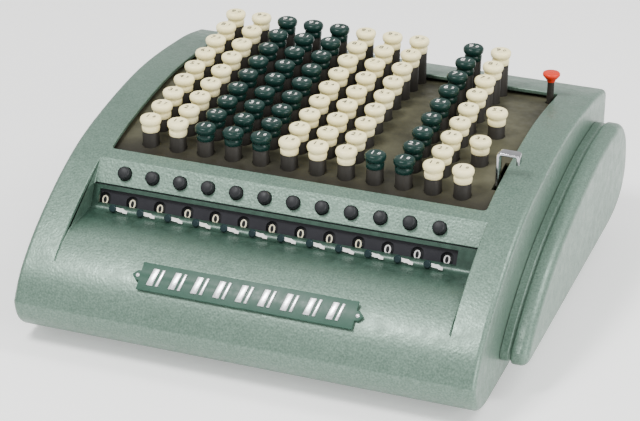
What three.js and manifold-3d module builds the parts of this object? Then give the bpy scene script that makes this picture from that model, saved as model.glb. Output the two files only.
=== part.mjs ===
// Key-driven mechanical adding machine: a sheet-metal case with curved side arches, twelve
// columns of keys, thirteen numeral wheels behind a window, and a clearing lever.
// Millimetres, +Z up. The design is drawn with X = 0 on the keyboard's centre line, Y = 0 at the
// front row of keys and Z = 0 on the table, then moved so that the origin is the centre of the foot.

import * as THREE from "three";
import { mergeGeometries, mergeVertices } from "three/addons/utils/BufferGeometryUtils.js";
import Module from "manifold-3d";

const wasm = await Module();
wasm.setup();

// ---- Driving dimensions ----
const GAP = 0.4; // clearance between neighbouring parts
const WALL = 3; // case metal
const HALF_WIDTH = 150; // case, from the centre line to a side
const FRONT = -115;
const REAR = 190;
const CASE_BOTTOM = 6;
const EDGE_ROUND = 3; // along the side edges of the case
const KEY_PITCH = 19.05; // between key columns
const ROW_PITCH = 18.3; // between keys of one column
const COLUMNS = 12;
const ROWS = 9;
const KEY_TRAVEL = 4;

const OPENING = { halfWidth: 125, front: -16.8, rear: 152 }; // keyboard opening in the case
const TROUGH_HALF_WIDTH = 128.5;
const DECK = { fade: -91, front: -60, level: 67.5, foot: -45 }; // hollow in front of the window
const BAR = { bottomY: -36.5, bottomZ: 82, crestY: -26 }; // slanted bar that holds the buttons
const PANEL = { halfWidth: 125.6, sheet: 2, wallFoot: [-42.3, 68.8], wallHead: [-37.2, 79.6] };
const WINDOW = { left: -124.2, right: 114.5, bottom: 70, top: 79 };
const WHEELS = { count: 13, firstX: -120.2, sides: 10, flat: 15, width: 12, bore: 3.9 };
const SHAFT_RADIUS = 3;
const BUTTON = { radius: 4.3, proud: 4.8, inside: 4.5, firstX: -109.2 };
const PLATE = { halfWidth: 130, front: -19, rear: 160, below: 5, sheet: 2 };
const FRAME = { inner: 132, sheet: 2.5 };
const STEM_RADIUS = 5.5;
const CAP_RADIUS = 7.5;
const KEY_SIDES = 7;
const LEVER = { x: 121.5, sheet: 2, pivotY: 17, pivotZ: 52, top: 123.5, reach: 136.3 };
const LEVER_SLOT = { front: 10, rear: 41.5 };
const CLEAR_SHAFT_RADIUS = 3.5;
const RED_KEY = { x: 121.5, y: 144.5, top: 125.3 };
const COVER = { inner: HALF_WIDTH + GAP, outer: 168, wall: 2.5, round: 3.5 };
const FOOT = { x: 137.5, frontY: -60, rearY: 165, radius: 8.5 };
const BOX_CENTRE = { x: (COVER.outer - HALF_WIDTH) / 2, y: (FRONT + REAR) / 2 };

// ---- Outlines in the side view, as [y, z] points ----

// Top line of the side arches, from the nose over the keyboard to the rear corner.
const archPoints = new THREE.SplineCurve([
  [FRONT, 31], [-102, 50], [-72, 73], [-27, 95], [19, 106], [84, 112], [150, 107.5], [184, 101],
].map(([y, z]) => new THREE.Vector2(y, z))).getPoints(15);

function archHeight(y) {
  const i = archPoints.findIndex((p) => p.x >= y);
  const [a, b] = [archPoints[Math.max(i - 1, 0)], archPoints[Math.max(i, 1)]];
  return a.y + ((y - a.x) / (b.x - a.x)) * (b.y - a.y);
}

function bend(from, corner, to, steps) {
  const [a, b, c] = [from, corner, to].map(([y, z]) => new THREE.Vector2(y, z));
  return new THREE.QuadraticBezierCurve(a, b, c).getPoints(steps).map((p) => [p.x, p.y]);
}

const caseOutline = [
  ...archPoints.map((p) => [p.x, p.y]),
  ...bend([184, 101], [REAR, 100], [REAR, 94], 2).slice(1),
  [REAR, CASE_BOTTOM],
  ...bend([-86, CASE_BOTTOM], [-113, 7], [FRONT, 31], 4).slice(0, -1),
];

const troughOutline = [
  [DECK.fade, archHeight(DECK.fade)],
  ...bend([-88, 60.6], [-75, DECK.level], [DECK.front, DECK.level], 3),
  [DECK.foot, DECK.level],
  PANEL.wallFoot,
  [BAR.bottomY, BAR.bottomZ],
  [BAR.crestY, archHeight(BAR.crestY)],
  [BAR.crestY, 140],
  [DECK.fade - 20, 140],
  [DECK.fade - 20, archHeight(DECK.fade) + 8],
];

// Moves every side of a closed outline outwards by a distance, or inwards when it is negative.
function offset(outline, distance) {
  const turn = Math.sign(THREE.ShapeUtils.area(outline.map(([y, z]) => new THREE.Vector2(y, z))));
  const normal = (a, b) => new THREE.Vector2(b[1] - a[1], a[0] - b[0]).normalize();
  return outline.map((point, i) => {
    const before = normal(outline.at(i - 1), point);
    const after = normal(point, outline[(i + 1) % outline.length]);
    const mitre = before.clone().add(after).divideScalar(1 + before.dot(after));
    return [point[0] + mitre.x * distance * turn, point[1] + mitre.y * distance * turn];
  });
}

// A strip of sheet that follows the arch line at a depth below it, between two places in Y.
function archStrip(front, rear, depth, thickness, steps = 6) {
  const ys = Array.from({ length: steps + 1 }, (_, i) => THREE.MathUtils.lerp(front, rear, i / steps));
  const top = ys.map((y) => [y, archHeight(y) - depth]);
  const under = ys.map((y) => [y, archHeight(y) - depth - thickness]).reverse();
  return [...top, ...under];
}

// ---- Solids ----

function solid(geometry) {
  const bare = geometry.index ? geometry.toNonIndexed() : geometry.clone();
  bare.deleteAttribute("normal");
  bare.deleteAttribute("uv");
  const merged = mergeVertices(bare, 1e-4);
  const mesh = new wasm.Mesh({
    numProp: 3,
    vertProperties: new Float32Array(merged.attributes.position.array),
    triVerts: new Uint32Array(merged.index.array),
  });
  return new wasm.Manifold(mesh);
}

function geometryOf(body) {
  const mesh = body.getMesh();
  const geometry = new THREE.BufferGeometry();
  geometry.setAttribute("position", new THREE.BufferAttribute(mesh.vertProperties, 3));
  geometry.setIndex(new THREE.BufferAttribute(mesh.triVerts, 1));
  return geometry;
}

// Extrudes a side-view outline along X, with a chamfer along both ends if one is given.
function along(outline, left, right, chamfer = 0, holes = []) {
  const shape = new THREE.Shape(outline.map(([y, z]) => new THREE.Vector2(y, z)));
  shape.holes = holes.map((hole) => new THREE.Path(hole.map(([y, z]) => new THREE.Vector2(y, z))));
  const geometry = new THREE.ExtrudeGeometry(shape, {
    depth: right - left - 2 * chamfer,
    bevelEnabled: chamfer > 0,
    bevelThickness: chamfer,
    bevelSize: chamfer,
    bevelOffset: -chamfer,
    bevelSegments: 1,
  });
  const [x, y, z] = [new THREE.Vector3(1, 0, 0), new THREE.Vector3(0, 1, 0), new THREE.Vector3(0, 0, 1)];
  geometry.applyMatrix4(new THREE.Matrix4().makeBasis(y, z, x));
  return geometry.translate(left + chamfer, 0, 0);
}

function box(x0, x1, y0, y1, z0, z1) {
  const geometry = new THREE.BoxGeometry(x1 - x0, y1 - y0, z1 - z0);
  return geometry.translate((x0 + x1) / 2, (y0 + y1) / 2, (z0 + z1) / 2);
}

// Turns a [radius, height] profile about the Z axis.
function turned(profile, segments = 8) {
  const points = profile.map(([radius, height]) => new THREE.Vector2(radius, height));
  return new THREE.LatheGeometry(points, segments).rotateX(Math.PI / 2);
}

function rod(radius, left, right, y, z, segments = 8) {
  const ring = Array.from({ length: segments }, (_, i) => {
    const angle = ((i + 0.5) / segments) * 2 * Math.PI;
    return [y + radius * Math.cos(angle), z + radius * Math.sin(angle)];
  });
  return along(ring, left, right);
}

function join(geometries) {
  return geometries.map(solid).reduce((whole, piece) => whole.add(piece));
}

function cut(body, geometries) {
  return geometries.map(solid).reduce((whole, piece) => whole.subtract(piece), body);
}

// ---- Materials ----

function paint(color, roughness, metalness = 0) {
  return new THREE.MeshStandardMaterial({ color, roughness, metalness });
}

const enamel = () => paint(0x9db0a4, 0.45, 0.2);
const darkEnamel = () => paint(0x47695b, 0.35, 0.1);
const steel = () => paint(0x8d9092, 0.35, 0.9);
const chrome = () => paint(0xd8dadb, 0.12, 1);
const olive = () => paint(0x6d6a50, 0.6);
const black = () => paint(0x151718, 0.5);
const ivory = () => paint(0xefe8c6, 0.35);
const bottleGreen = () => paint(0x1d4038, 0.3);

const machine = new THREE.Group();

function part(name, shape, material) {
  const geometry = shape.isBufferGeometry ? shape : geometryOf(shape);
  const mesh = new THREE.Mesh(geometry, material);
  mesh.name = name;
  mesh.position.set(-BOX_CENTRE.x, -BOX_CENTRE.y, 0);
  machine.add(mesh);
}

// ---- Places worked out from the dimensions ----

const columnX = (column) => (column - (COLUMNS + 1) / 2) * KEY_PITCH;
const rowY = (row) => (row - 1) * ROW_PITCH;
const capHeight = (row) => 115 + 1.72 * (row - 1) + 0.07 * (row - 1) ** 2;
const wheelX = (wheel) => WHEELS.firstX + wheel * KEY_PITCH;
const buttonX = (button) => BUTTON.firstX + button * KEY_PITCH;

// The window wall: up its face, and inwards from it.
const wallUp = new THREE.Vector2(...PANEL.wallHead).sub(new THREE.Vector2(...PANEL.wallFoot)).normalize();
const wallIn = new THREE.Vector2(wallUp.y, -wallUp.x);

function onWall(up, inwards) {
  const foot = new THREE.Vector2(...PANEL.wallFoot);
  const point = foot.addScaledVector(wallUp, up).addScaledVector(wallIn, inwards);
  return [point.x, point.y];
}

function wallSlab(bottom, top, face, back) {
  return [onWall(bottom, face), onWall(top, face), onWall(top, back), onWall(bottom, back)];
}

const WINDOW_CENTRE = 5.6; // up the wall
const MASK = { face: 2.4, back: 3.6, bottom: -1.2, top: 12.4, holeWidth: 6.8, holeBottom: 1.4, holeTop: 10 };
const wheelCorner = WHEELS.flat / Math.cos(Math.PI / WHEELS.sides);
const [wheelY, wheelZ] = onWall(WINDOW_CENTRE, MASK.back + wheelCorner + GAP);

// The button bar: its face's centre and the way that the buttons point.
const barFoot = new THREE.Vector2(BAR.bottomY, BAR.bottomZ);
const barHead = new THREE.Vector2(BAR.crestY, archHeight(BAR.crestY));
const barCentre = barFoot.clone().lerp(barHead, 0.5);
const barLean = Math.atan2(barHead.x - barFoot.x, barHead.y - barFoot.y);

// ---- Case ----

function buttonRod(index, radius, proud, inside) {
  const profile = [[0, -inside], [radius, -inside], [radius, proud - 1], [radius - 1, proud], [0, proud]];
  const rodShape = turned(profile).rotateX(Math.PI / 2 - barLean);
  return rodShape.translate(buttonX(index), barCentre.x, barCentre.y);
}

function caseShell() {
  const outer = solid(along(caseOutline, -HALF_WIDTH, HALF_WIDTH, EDGE_ROUND));
  const hollow = solid(along(offset(caseOutline, -WALL), -HALF_WIDTH + WALL, HALF_WIDTH - WALL));
  const troughSkin = along(offset(troughOutline, WALL), -TROUGH_HALF_WIDTH - WALL, TROUGH_HALF_WIDTH + WALL);
  const hollowUnderTrough = cut(hollow, [troughSkin]);
  const inside = HALF_WIDTH - WALL;
  const openings = [
    along(troughOutline, -TROUGH_HALF_WIDTH, TROUGH_HALF_WIDTH),
    box(-OPENING.halfWidth, OPENING.halfWidth, OPENING.front, OPENING.rear, 90, 130),
    box(-PANEL.halfWidth - GAP, PANEL.halfWidth + GAP, DECK.front, -30, 60, BAR.bottomZ - 0.3),
    box(-inside, inside, -83, REAR - WALL, 0, 10),
    rod(CLEAR_SHAFT_RADIUS + 1.2, inside - 5, HALF_WIDTH + 5, LEVER.pivotY, LEVER.pivotZ),
    ...Array.from({ length: COLUMNS }, (_, i) => buttonRod(i, BUTTON.radius + 0.45, 12, 12)),
  ];
  return cut(outer.subtract(hollowUnderTrough), openings);
}

function basePlate() {
  const inside = HALF_WIDTH - WALL - GAP;
  return box(-inside, inside, -83 + GAP, REAR - WALL - GAP, CASE_BOTTOM, CASE_BOTTOM + 2);
}

function foot() {
  return turned([[0, 0], [FOOT.radius - 1, 0], [FOOT.radius, 5.6], [0, 5.6]], 12);
}

// Hollow cover on the right side, with a round tail and a rising top edge.
function sideCover() {
  const topEdge = new THREE.SplineCurve([
    [-64, 31], [-43, 48], [-2, 69], [50, 83], [104, 91], [150, 91],
  ].map(([y, z]) => new THREE.Vector2(y, z))).getPoints(8).map((p) => [p.x, p.y]);
  const tailBack = bend([150, 91], [187, 86], [187, 48], 4);
  const tail = [...tailBack, ...bend([187, 48], [184, 21], [140, 20], 3).slice(1)];
  const heel = bend([-56, 20], [-66, 20], [-64, 31], 2).slice(0, -1);
  const outline = [...topEdge, ...tail.slice(1), ...heel];
  const outer = solid(along(outline, COVER.inner, COVER.outer, COVER.round));
  const square = solid(along(offset(outline, -0.01), COVER.inner, COVER.inner + COVER.round * 2));
  const hollow = along(offset(outline, -COVER.wall - 1), COVER.inner - 1, COVER.outer - COVER.wall);
  return cut(outer.add(square), [hollow]);
}

function nameplate() {
  const [halfLength, point, halfHeight, sheet] = [70, 5, 9.3, 1.6];
  const corners = [
    [-halfLength, -halfHeight], [halfLength, -halfHeight], [halfLength + point, 0],
    [halfLength, halfHeight], [-halfLength, halfHeight], [-halfLength - point, 0],
  ];
  const shape = new THREE.Shape(corners.map(([x, y]) => new THREE.Vector2(x, y)));
  const plate = new THREE.ExtrudeGeometry(shape, { depth: sheet, bevelEnabled: false });
  const [low, high] = [-104, -89.5];
  const slope = Math.atan2(archHeight(high) - archHeight(low), high - low);
  const middle = (low + high) / 2;
  return plate.rotateX(slope).translate(0, middle - 0.5, archHeight(middle) + 0.75);
}

// ---- Register: panel, mask, pointers, wheels and their shaft ----

function registerPanel() {
  const face = [
    [DECK.front + GAP, DECK.level], [DECK.foot, DECK.level], PANEL.wallFoot, PANEL.wallHead,
    [BAR.bottomY - 0.3, BAR.bottomZ - 0.7],
  ];
  const back = face.map(([y, z], i) => {
    const shift = i < 1 ? new THREE.Vector2(0, -1) : wallIn;
    return [y + shift.x * PANEL.sheet, z + shift.y * PANEL.sheet];
  });
  back[1] = [DECK.foot + 0.8, DECK.level - PANEL.sheet];
  back[2] = [PANEL.wallFoot[0] + 1.4, PANEL.wallFoot[1] - 1.9];
  const sheet = solid(along([...face, ...back.reverse()], -PANEL.halfWidth, PANEL.halfWidth));
  return cut(sheet, [box(WINDOW.left, WINDOW.right, -50, -30, WINDOW.bottom, WINDOW.top)]);
}

function numeralMask() {
  const slab = wallSlab(MASK.bottom, MASK.top, MASK.face, MASK.back);
  const strip = along(slab, WINDOW.left - 0.8, WINDOW.right + 3);
  const hole = wallSlab(MASK.holeBottom, MASK.holeTop, 0, 6);
  const holes = Array.from({ length: WHEELS.count }, (_, i) => {
    return along(hole, wheelX(i) - MASK.holeWidth / 2, wheelX(i) + MASK.holeWidth / 2);
  });
  return cut(solid(strip), holes);
}

function decimalPointers() {
  const [railFront, railBack, railBottom] = [-46.6, -45.1, DECK.level + 0.35];
  const firstX = WHEELS.firstX + 7.2;
  const lastX = firstX + (COLUMNS - 1) * KEY_PITCH;
  const pieces = [box(firstX - 3, lastX + 9, railFront, railBack, railBottom, railBottom + 1.4)];
  for (let i = 0; i < COLUMNS; i++) {
    const x = firstX + i * KEY_PITCH;
    const knob = turned([[0, 0], [2.3, 0], [2.3, 2.2], [0, 2.2]], 6).rotateX(Math.PI / 2);
    pieces.push(knob.translate(x, railBack + 0.1, railBottom + 2.2));
    pieces.push(box(x + 1, x + 8.5, railFront + 0.3, railBack - 0.2, railBottom + 1.2, railBottom + 2.6));
  }
  return join(pieces);
}

function numeralWheel(index) {
  const ring = (radius, sides, turn) => Array.from({ length: sides }, (_, i) => {
    const angle = turn + ((i + 0.5) / sides) * 2 * Math.PI;
    return [wheelY + radius * Math.cos(angle), wheelZ + radius * Math.sin(angle)];
  });
  const facing = Math.atan2(-wallIn.y, -wallIn.x);
  const half = WHEELS.width / 2;
  const bore = ring(WHEELS.bore, 8, 0);
  const rim = ring(wheelCorner, WHEELS.sides, facing);
  return along(rim, wheelX(index) - half, wheelX(index) + half, 0, [bore]);
}

// ---- Keyboard ----

// Which rows of each column carry keys, and the keys' colour.
const nineRows = Array.from({ length: ROWS }, (_, i) => i + 1);
const keyboard = [
  ...[1, 2].map((column) => ({ column, rows: nineRows, cap: ivory })),
  ...[3, 4, 5].map((column) => ({ column, rows: nineRows, cap: bottleGreen })),
  ...[6, 7, 8].map((column) => ({ column, rows: nineRows, cap: ivory })),
  { column: 9, rows: [1], cap: bottleGreen },
  { column: 10, rows: nineRows, cap: bottleGreen },
  { column: 11, rows: nineRows, cap: ivory },
  ...[1, 3, 5].map((row) => ({ column: 12, rows: [row], cap: ivory })),
];

const BAR_DEPTH = PLATE.below + PLATE.sheet + 0.6; // top of a column's bar, under the arch line
const BAR_HEIGHT = 6;

function key(column, row) {
  const top = capHeight(row);
  const foot = archHeight(rowY(row)) - BAR_DEPTH - BAR_HEIGHT / 2;
  const profile = [
    [0, foot], [STEM_RADIUS, foot], [STEM_RADIUS, top - 3.5], [CAP_RADIUS, top - 1.5],
    [CAP_RADIUS - 0.8, top + 2.5], [0, top + 2.8],
  ];
  return turned(profile, KEY_SIDES).translate(columnX(column), rowY(row), 0);
}

// The keys of a column stand on one bar under the plate; a lone key has a short foot instead.
function keyColumn({ column, rows }) {
  const [front, rear] = [rowY(rows[0]) - 4, rowY(rows.at(-1)) + 4];
  const steps = rows.length > 1 ? 4 : 1;
  const strip = archStrip(front, rear, BAR_DEPTH, BAR_HEIGHT, steps);
  const bar = along(strip, columnX(column) - 4, columnX(column) + 4);
  return join([bar, ...rows.map((row) => key(column, row))]);
}

function keyboardPlate() {
  const strip = archStrip(PLATE.front, PLATE.rear, PLATE.below, PLATE.sheet, 4);
  const sheet = solid(along(strip, -PLATE.halfWidth, PLATE.halfWidth));
  const half = STEM_RADIUS + 0.5;
  const slots = keyboard.map(({ column, rows }) => {
    const x = columnX(column);
    return box(x - half, x + half, rowY(rows[0]) - half, rowY(rows.at(-1)) + half, 80, 120);
  });
  const leverSlot = box(LEVER.x - 1.3, OPENING.halfWidth, LEVER_SLOT.front, LEVER_SLOT.rear, 80, 120);
  const redHole = turned([[0, 80], [3.4, 80], [3.4, 120], [0, 120]]).translate(RED_KEY.x, RED_KEY.y, 0);
  return cut(sheet, [...slots, leverSlot, redHole]);
}

function releaseKey() {
  const { x, y, top } = RED_KEY;
  const profile = [[0, 88], [2.6, 88], [2.6, top - 9], [6.2, top - 3], [6.2, top - 1], [5, top], [0, top]];
  return turned(profile, 10).translate(x, y, 0);
}

// ---- Mechanism ----

function sideFrame() {
  const depth = PLATE.below + PLATE.sheet + GAP;
  const top = archStrip(-12, PLATE.rear, depth, 1).slice(0, 7);
  return [...top, [PLATE.rear, CASE_BOTTOM + 2.4], [-36, CASE_BOTTOM + 2.4], [-36, 72]];
}

function mechanismFrame(side) {
  const [near, far] = [FRAME.inner, FRAME.inner + FRAME.sheet];
  const [left, right] = side > 0 ? [near, far] : [-far, -near];
  const sheet = solid(along(sideFrame(), left, right));
  const bore = rod(CLEAR_SHAFT_RADIUS + 1.2, left - 1, right + 1, LEVER.pivotY, LEVER.pivotZ);
  return side > 0 ? cut(sheet, [bore]) : sheet;
}

function clearingLever() {
  const { x, sheet, pivotY, pivotZ, top, reach } = LEVER;
  const half = 3.5;
  const strip = box(x, x + sheet, pivotY - half, pivotY + half, pivotZ, top);
  const hub = rod(8, x, x + sheet, pivotY, pivotZ, 10);
  const handle = box(x, reach, pivotY - half, pivotY + half, top - sheet, top);
  const tab = box(reach - sheet, reach, pivotY - half, pivotY + half, top - 7, top);
  const bore = rod(CLEAR_SHAFT_RADIUS + 0.4, x - 1, x + sheet + 1, pivotY, pivotZ);
  return cut(join([strip, hub, handle, tab]), [bore]);
}

function clearingArm() {
  const { pivotY, pivotZ } = LEVER;
  const [left, right] = [COVER.inner + 5, COVER.inner + 8];
  const arm = box(left, right, pivotY - 4, pivotY + 4, pivotZ - 24, pivotZ);
  const hub = rod(7, left, right, pivotY, pivotZ, 10);
  return cut(join([arm, hub]), [rod(CLEAR_SHAFT_RADIUS + 0.4, left - 1, right + 1, pivotY, pivotZ)]);
}

// ---- Assembly ----

part("case_shell", caseShell(), enamel());
part("base_plate", basePlate(), steel());
part("side_cover", sideCover(), enamel());
part("nameplate", nameplate(), darkEnamel());
part("register_panel", registerPanel(), darkEnamel());
part("numeral_mask", numeralMask(), black());
part("decimal_pointer_rail", decimalPointers(), black());
part("keyboard_plate", keyboardPlate(), olive());
part("mechanism_frame_left", mechanismFrame(-1), steel());
part("mechanism_frame_right", mechanismFrame(1), steel());

for (const [end, y] of [["front", FOOT.frontY], ["rear", FOOT.rearY]]) {
  for (const [side, x] of [["left", -FOOT.x], ["right", FOOT.x]]) {
    part(`foot_${end}_${side}`, foot().translate(x, y, 0), black());
  }
}

const shaftEnd = FRAME.inner - GAP;
part("register_shaft", rod(SHAFT_RADIUS, -shaftEnd, shaftEnd, wheelY, wheelZ), steel());
part("key_lever_shaft", rod(4, -shaftEnd, shaftEnd, 157, 80), steel());

for (let i = 0; i < WHEELS.count; i++) {
  part(`numeral_wheel_${i + 1}`, numeralWheel(i), black());
}

for (const entry of keyboard) {
  const { column, rows } = entry;
  const name = rows.length > 1 ? `key_column_${column}` : `key_${column}_row_${rows[0]}`;
  part(name, keyColumn(entry), entry.cap());
}

for (let i = 0; i < COLUMNS; i++) {
  part(`cut_off_button_${i + 1}`, buttonRod(i, BUTTON.radius, BUTTON.proud, BUTTON.inside), black());
}

part("clearing_lever", clearingLever(), chrome());
const shaftTip = COVER.inner + 10;
part("clearing_shaft", rod(CLEAR_SHAFT_RADIUS, LEVER.x - 3, shaftTip, LEVER.pivotY, LEVER.pivotZ), steel());
part("clearing_arm", clearingArm(), steel());
part("release_key", releaseKey(), paint(0xd8402c, 0.35));

export default machine;
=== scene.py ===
import math

import bmesh
import bpy
from mathutils import Matrix, Vector


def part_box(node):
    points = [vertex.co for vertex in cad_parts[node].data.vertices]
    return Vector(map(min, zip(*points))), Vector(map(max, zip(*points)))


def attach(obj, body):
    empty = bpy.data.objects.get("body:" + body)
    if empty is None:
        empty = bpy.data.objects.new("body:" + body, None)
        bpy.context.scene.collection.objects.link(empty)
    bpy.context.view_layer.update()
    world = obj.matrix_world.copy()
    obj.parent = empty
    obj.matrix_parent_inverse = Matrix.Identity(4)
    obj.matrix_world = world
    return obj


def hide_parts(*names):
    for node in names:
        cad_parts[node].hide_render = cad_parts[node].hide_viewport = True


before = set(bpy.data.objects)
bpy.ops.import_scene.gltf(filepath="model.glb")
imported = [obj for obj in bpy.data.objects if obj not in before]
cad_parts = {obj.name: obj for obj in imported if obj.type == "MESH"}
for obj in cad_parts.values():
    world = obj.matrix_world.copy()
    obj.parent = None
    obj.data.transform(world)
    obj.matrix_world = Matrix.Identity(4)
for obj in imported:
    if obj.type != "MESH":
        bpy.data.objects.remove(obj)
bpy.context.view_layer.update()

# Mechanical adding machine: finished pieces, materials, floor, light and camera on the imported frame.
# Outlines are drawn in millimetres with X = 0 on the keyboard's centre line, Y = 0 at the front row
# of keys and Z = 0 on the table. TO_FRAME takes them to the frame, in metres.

MM = 0.001
FRONT, REAR, CASE_BOTTOM = -115, 190, 6


def box_centre(node):
    low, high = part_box(node)
    return (low + high) / 2


CENTRE_X = box_centre("case_shell").x
FIRST_ROW_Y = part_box("case_shell")[1].y - REAR * MM
TO_FRAME = Matrix.Translation((CENTRE_X, FIRST_ROW_Y, 0)) @ Matrix.Diagonal((MM, MM, MM, 1))
FROM_FRAME = TO_FRAME.inverted()


def node_box(node):
    """Lowest and highest corner of a CAD node, in the drawing's millimetres."""
    low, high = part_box(node)
    return FROM_FRAME @ low, FROM_FRAME @ high


# ---- Driving dimensions ----
# They repeat the CAD model's, apart from DECK_FADE (-91 there), PANEL_HALF (125.6 there) and PANEL_FRONT,
# which is the seam of the finished panel and lies behind the CAD panel's front edge.

HALF_WIDTH = 150
WALL = 3
SHEET = 2
KEY_PITCH, ROW_PITCH = 19.05, 18.3
COLUMNS, ROWS = 12, 9
OPENING_HALF, OPENING_FRONT, OPENING_REAR = 125, -16.8, 152
TROUGH_HALF = 128.5
DECK_FADE, DECK_FRONT, DECK_FOOT, DECK_LEVEL = -99, -60, -45, 67.5
BAR_BOTTOM = Vector((-36.5, 82))
BAR_CREST_Y = -26
WALL_FOOT, WALL_HEAD = Vector((-42.3, 68.8)), Vector((-37.2, 79.6))
PANEL_HALF, PANEL_FRONT = 128.3, -47
PLATE_BELOW = 5
FIRST_WHEEL_X, WHEEL_COUNT, WHEEL_BORE = -120.2, 13, 3.9
FIRST_BUTTON_X = -109.2
STEM_RADIUS = 5.5
LEVER_SLOT_FRONT, LEVER_SLOT_REAR = 10, 41.5
ABOVE_CASE = 140
PLATE_CUT_LOW, PLATE_CUT_HIGH = 80, 125


# ---- Outlines in the side view ----

def spline(points, steps):
    """A uniform Catmull-Rom curve through the points."""
    out = []
    spans = len(points) - 1
    for i in range(steps + 1):
        t = i / steps * spans
        k = min(int(t), spans - 1)
        w = t - k
        p1, p2 = Vector(points[k]), Vector(points[k + 1])
        p0, p3 = Vector(points[max(k - 1, 0)]), Vector(points[min(k + 2, spans)])
        v1, v2 = (p2 - p0) / 2, (p3 - p1) / 2
        cubic, square = 2 * p1 - 2 * p2 + v1 + v2, 3 * p2 - 3 * p1 - 2 * v1 - v2
        out.append(cubic * w**3 + square * w**2 + v1 * w + p1)
    return out


def bend(start, corner, end, steps):
    """A quadratic curve from start to end that leans towards the corner."""
    a, b, c = Vector(start), Vector(corner), Vector(end)
    places = [i / steps for i in range(steps + 1)]
    return [a * (1 - t) ** 2 + 2 * b * t * (1 - t) + c * t * t for t in places]


ARCH_REAR = (184, 101)
ARCH_KNOTS = [(FRONT, 31), (-102, 50), (-72, 73), (-27, 95), (19, 106), (84, 112), (150, 107.5), ARCH_REAR]
ARCH = spline(ARCH_KNOTS, 84)


def arch_height(y):
    for a, b in zip(ARCH, ARCH[1:]):
        if b.x >= y:
            return a.y + (y - a.x) / (b.x - a.x) * (b.y - a.y)
    return ARCH[-1].y


def case_outline():
    rear_corner = bend(ARCH_REAR, (REAR, 100), (REAR, 94), 6)[1:]
    nose = bend((-86, CASE_BOTTOM), (-113, 7), (FRONT, 31), 14)[:-1]
    outline = ARCH + rear_corner + [Vector((REAR, CASE_BOTTOM))] + nose
    return [Vector((max(p.x, FRONT), p.y)) for p in outline]


BAR_CREST = Vector((BAR_CREST_Y, arch_height(BAR_CREST_Y)))


def deck_line():
    """The hollow in front of the window, from where it leaves the arch to the window's foot."""
    start = (DECK_FADE, arch_height(DECK_FADE))
    ramp = bend(start, (-89, 61), (-77, 65.6), 10)
    floor = bend((-77, 65.6), (-72, DECK_LEVEL), (DECK_FRONT, DECK_LEVEL), 8)[1:]
    return ramp + floor + [Vector((DECK_FOOT, DECK_LEVEL))]


def trough_lid():
    """The part of the hollow's outline that passes above the case."""
    front = DECK_FADE - 20
    corners = [(BAR_CREST_Y, ABOVE_CASE), (front, ABOVE_CASE), (front, arch_height(DECK_FADE) + 8)]
    return [Vector(corner) for corner in corners]


def trough_outline():
    return deck_line() + [WALL_FOOT, BAR_BOTTOM, BAR_CREST] + trough_lid()


def trough_cut_outline():
    """The hollow, opened at the back for the register panel."""
    opening = [(PANEL_FRONT, DECK_LEVEL), (PANEL_FRONT, 60), (-30, 60), (-30, BAR_BOTTOM.y)]
    return deck_line()[:-1] + [Vector(p) for p in opening] + [BAR_BOTTOM, BAR_CREST] + trough_lid()


def offset(outline, distance):
    """Moves every side of a closed outline outwards, or inwards when the distance is negative."""
    pairs = list(zip(outline, outline[1:] + outline[:1]))
    turn = 1 if sum(a.x * b.y - b.x * a.y for a, b in pairs) > 0 else -1
    normals = [Vector((b.y - a.y, a.x - b.x)).normalized() for a, b in pairs]
    moved = []
    for i, point in enumerate(outline):
        before, after = normals[i - 1], normals[i]
        moved.append(point + (before + after) / (1 + before.dot(after)) * distance * turn)
    return moved


WALL_UP = (WALL_HEAD - WALL_FOOT).normalized()
WALL_IN = Vector((WALL_UP.y, -WALL_UP.x))
# Turns a shape lying in XY to lie on the window wall, its Z pointing out of the face.
WALL_FRAME = Matrix(((1, 0, 0), (0, WALL_UP.x, -WALL_IN.x), (0, WALL_UP.y, -WALL_IN.y))).to_4x4()


def on_wall(up, inwards):
    return WALL_FOOT + WALL_UP * up + WALL_IN * inwards


# ---- Mesh tools ----

def add_prism(bm, outline, left, right):
    """A closed solid: a side-view outline carried from left to right."""
    ends = [[bm.verts.new((x, p[0], p[1])) for p in outline] for x in (left, right)]
    bm.faces.new(ends[0])
    bm.faces.new(ends[1][::-1])
    count = len(outline)
    for i in range(count):
        j = (i + 1) % count
        bm.faces.new((ends[0][j], ends[0][i], ends[1][i], ends[1][j]))
    bmesh.ops.recalc_face_normals(bm, faces=bm.faces)


def add_lathe(bm, profile, segments, matrix):
    """Turns a [radius, height] profile about Z, then places it. The ends lie on the axis."""
    rings = []
    for radius, height in profile:
        if radius == 0:
            rings.append([bm.verts.new(matrix @ Vector((0, 0, height)))])
            continue
        angles = (2 * math.pi * i / segments for i in range(segments))
        ring = [matrix @ Vector((radius * math.cos(a), radius * math.sin(a), height)) for a in angles]
        rings.append([bm.verts.new(p) for p in ring])
    for low, high in zip(rings, rings[1:]):
        for i in range(segments):
            j = (i + 1) % segments
            corners = [low[i % len(low)], low[j % len(low)], high[j % len(high)], high[i % len(high)]]
            bm.faces.new(list(dict.fromkeys(corners)))


def add_box(bm, low, high, matrix=Matrix.Identity(4)):
    size = Vector(high) - Vector(low)
    middle = (Vector(high) + Vector(low)) / 2
    place = matrix @ Matrix.Translation(middle) @ Matrix.Diagonal((*size, 1))
    bmesh.ops.create_cube(bm, size=1, matrix=place)


def to_object(name, bm):
    """A mesh object in the frame, in metres, from a drawing in millimetres."""
    bmesh.ops.transform(bm, matrix=TO_FRAME, verts=bm.verts)
    bmesh.ops.recalc_face_normals(bm, faces=bm.faces)
    mesh = bpy.data.meshes.new(name)
    bm.to_mesh(mesh)
    bm.free()
    obj = bpy.data.objects.new(name, mesh)
    bpy.context.scene.collection.objects.link(obj)
    return obj


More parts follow.
